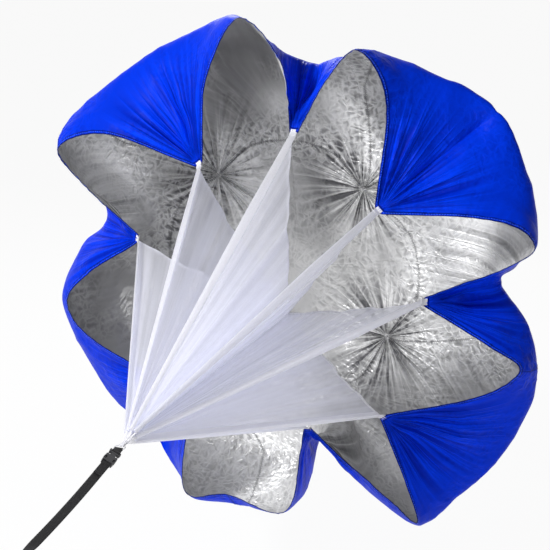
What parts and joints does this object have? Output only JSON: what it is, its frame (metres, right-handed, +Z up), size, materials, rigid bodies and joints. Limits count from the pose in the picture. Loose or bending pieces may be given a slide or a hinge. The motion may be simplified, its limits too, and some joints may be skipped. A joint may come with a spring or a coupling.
{
  "type": "speed parachute",
  "caption": "Round resistance parachute for sprint training, with a scalloped mouth, net fins, a D-ring, a side-release buckle and a strap with a belt loop.",
  "frame": {"origin": "middle of the belt loop's lower inner face, where the waist belt bears", "axes": "+Y runs along the tether from the belt loop to the canopy, +Z is up, and +X is to the right as the mouth is seen from the runner"},
  "size_m": [1.5213, 2.1619, 1.5941],
  "materials": {
    "coated_taffeta": "royal blue coated polyester taffeta, silver inside",
    "nylon_tulle": "sheer white tulle",
    "white_webbing": "woven polyester",
    "black_webbing": "woven polypropylene",
    "acetal": "moulded",
    "plated_steel": "nickel plated wire"
  },
  "bodies": {
    "tether": {"belt_loop": "black_webbing", "tether_strap": "black_webbing", "buckle_socket": "acetal", "buckle_plug": "acetal", "webbing_keeper": "black_webbing", "d_ring": "plated_steel"},
    "left_arm": {"release_arm_left": "acetal"},
    "right_arm": {"release_arm_right": "acetal"},
    "chute": {"apex_loop": "white_webbing", "net_gather": "nylon_tulle", "net_fin_1": "nylon_tulle", "net_fin_2": "nylon_tulle", "net_fin_3": "nylon_tulle", "net_fin_4": "nylon_tulle", "net_fin_5": "nylon_tulle", "net_fin_6": "nylon_tulle", "net_fin_7": "nylon_tulle", "net_fin_8": "nylon_tulle", "hem_tab_1": "white_webbing", "hem_tab_2": "white_webbing", "hem_tab_3": "white_webbing", "hem_tab_4": "white_webbing", "hem_tab_5": "white_webbing", "hem_tab_6": "white_webbing", "hem_tab_7": "white_webbing", "hem_tab_8": "white_webbing", "crown_panel": "coated_taffeta", "side_panel_1": "coated_taffeta", "side_panel_2": "coated_taffeta", "side_panel_3": "coated_taffeta", "side_panel_4": "coated_taffeta"}
  },
  "joints": [
    {"name": "chute_swing", "type": "hinge", "parent": "tether", "child": "chute", "pos_m": [0, 0.51904, 0.03], "axis": [0, 0, 1], "range_deg": [-60, 60]},
    {"name": "left_arm_press", "type": "hinge", "parent": "tether", "child": "left_arm", "pos_m": [-0.00927, 0.4865, 0.03235], "axis": [0.4695, -0.0846, 0.8789], "range_deg": [0, 8], "stiffness_Nm_per_rad": 0.5},
    {"name": "right_arm_press", "type": "hinge", "parent": "tether", "child": "right_arm", "pos_m": [0.00927, 0.48744, 0.02254], "axis": [-0.4695, 0.0846, -0.8789], "range_deg": [0, 8], "stiffness_Nm_per_rad": 0.5}
  ]
}
